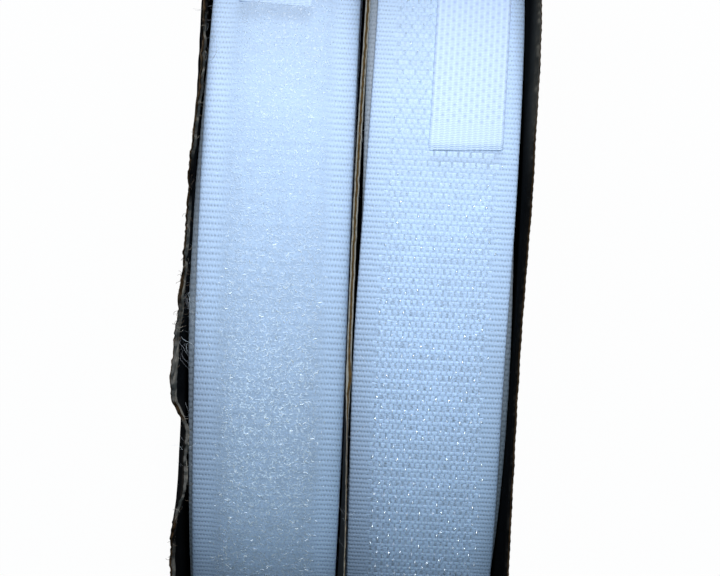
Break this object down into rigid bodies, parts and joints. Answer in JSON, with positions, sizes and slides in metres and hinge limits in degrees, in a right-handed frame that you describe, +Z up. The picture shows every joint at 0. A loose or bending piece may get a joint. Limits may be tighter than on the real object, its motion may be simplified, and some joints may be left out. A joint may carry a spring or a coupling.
{
  "type": "boxed hook and loop tape rolls",
  "caption": "Loop roll and hook roll of woven fastening tape standing side by side in an open, divided paperboard carton; each roll lifts out and turns about its card core.",
  "frame": {"origin": "on the surface that the carton stands on, under the middle of its base", "axes": "+X across the lanes from the loop roll to the hook roll, +Y along the depth towards the rear panel, +Z up"},
  "size_m": [0.0442, 0.1498, 0.1532],
  "materials": {
    "carton_board": "dark coated board with a brown core, matt",
    "partition_board": "grey-lined board with a brown core, matt",
    "core_card": "spiral-wound brown card, matt",
    "loop_tape": "cool white napped loop pile with ribbed selvedges",
    "hook_tape": "cool white woven ground with clear monofilament hooks",
    "end_strip": "cool white plain woven back"
  },
  "bodies": {
    "carton": {"left_side_panel": "carton_board", "right_side_panel": "carton_board", "front_panel": "carton_board", "rear_panel": "carton_board", "glue_flap": "carton_board", "base_outer_flap": "carton_board", "base_inner_flap": "carton_board", "base_dust_flap_front": "carton_board", "base_dust_flap_rear": "carton_board", "partition_panel": "partition_board", "partition_front_flange": "partition_board", "partition_rear_flange": "partition_board"},
    "loop_tube": {"loop_core": "core_card"},
    "loop_tape": {"loop_winding": "loop_tape", "loop_end_strip": "end_strip"},
    "hook_tube": {"hook_core": "core_card"},
    "hook_tape": {"hook_winding": "hook_tape", "hook_end_strip": "end_strip"}
  },
  "joints": [
    {"name": "loop_lift", "type": "slide", "parent": "carton", "child": "loop_tube", "axis": [0, 0, 1], "range_m": [0, 0.155]},
    {"name": "loop_turn", "type": "hinge", "parent": "loop_tube", "child": "loop_tape", "pos_m": [-0.0109, 0, 0.0739], "axis": [1, 0, 0], "continuous": true},
    {"name": "hook_lift", "type": "slide", "parent": "carton", "child": "hook_tube", "axis": [0, 0, 1], "range_m": [0, 0.155]},
    {"name": "hook_turn", "type": "hinge", "parent": "hook_tube", "child": "hook_tape", "pos_m": [0.0109, 0, 0.0739], "axis": [1, 0, 0], "continuous": true}
  ]
}
